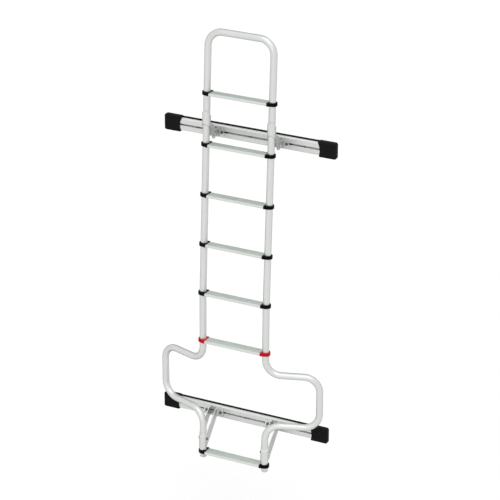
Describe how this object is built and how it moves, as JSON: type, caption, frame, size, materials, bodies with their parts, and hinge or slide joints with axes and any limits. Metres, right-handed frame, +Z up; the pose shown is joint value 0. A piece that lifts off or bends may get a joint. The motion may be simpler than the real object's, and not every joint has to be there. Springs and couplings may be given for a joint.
{
  "type": "van rear door ladder",
  "caption": "Bent tube ladder for the rear door of a van, with grooved steps on moulded clamps, a top hoop, wide foot loops and slotted crossbars that bolt to the door.",
  "frame": {"origin": "middle of the lower crossbar's rubber back, where it lies on the door", "axes": "+X along the crossbars to the right as seen by a climber, +Y back towards the door, +Z up"},
  "size_m": [0.814, 0.1993, 2.0094],
  "materials": {
    "frame_tube": "satin anodised",
    "step": "satin, grooved tread",
    "crossbar": "satin extrusion",
    "bracket": "satin, folded plate",
    "bolt": "plain",
    "black_clamp": "moulded",
    "red_clamp": "moulded",
    "end_cap": "moulded, fine grain",
    "foot_plug": "moulded",
    "seal": "matt"
  },
  "bodies": {
    "root": {"top_hoop": "frame_tube", "left_stile": "frame_tube", "left_foot_loop": "frame_tube", "left_foot_plug": "foot_plug", "right_stile": "frame_tube", "right_foot_loop": "frame_tube", "right_foot_plug": "foot_plug", "step_1": "step", "left_clamp_1": "black_clamp", "right_clamp_1": "black_clamp", "step_2": "step", "left_clamp_2": "black_clamp", "right_clamp_2": "black_clamp", "step_3": "step", "left_clamp_3": "black_clamp", "right_clamp_3": "black_clamp", "step_4": "step", "left_clamp_4": "black_clamp", "right_clamp_4": "black_clamp", "step_5": "step", "left_clamp_5": "black_clamp", "right_clamp_5": "black_clamp", "step_6": "step", "left_clamp_6": "red_clamp", "right_clamp_6": "red_clamp", "step_7": "step", "left_clamp_7": "black_clamp", "right_clamp_7": "black_clamp", "lower_crossbar": "crossbar", "lower_seal": "seal", "lower_left_cap": "end_cap", "lower_right_cap": "end_cap", "upper_crossbar": "crossbar", "upper_seal": "seal", "upper_left_cap": "end_cap", "upper_right_cap": "end_cap", "left_lower_strap": "bracket", "left_upper_sleeve": "bracket", "left_upper_base": "bracket", "left_pivot_bolt": "bolt", "right_lower_strap": "bracket", "right_upper_sleeve": "bracket", "right_upper_base": "bracket", "right_pivot_bolt": "bolt"}
  },
  "joints": []
}
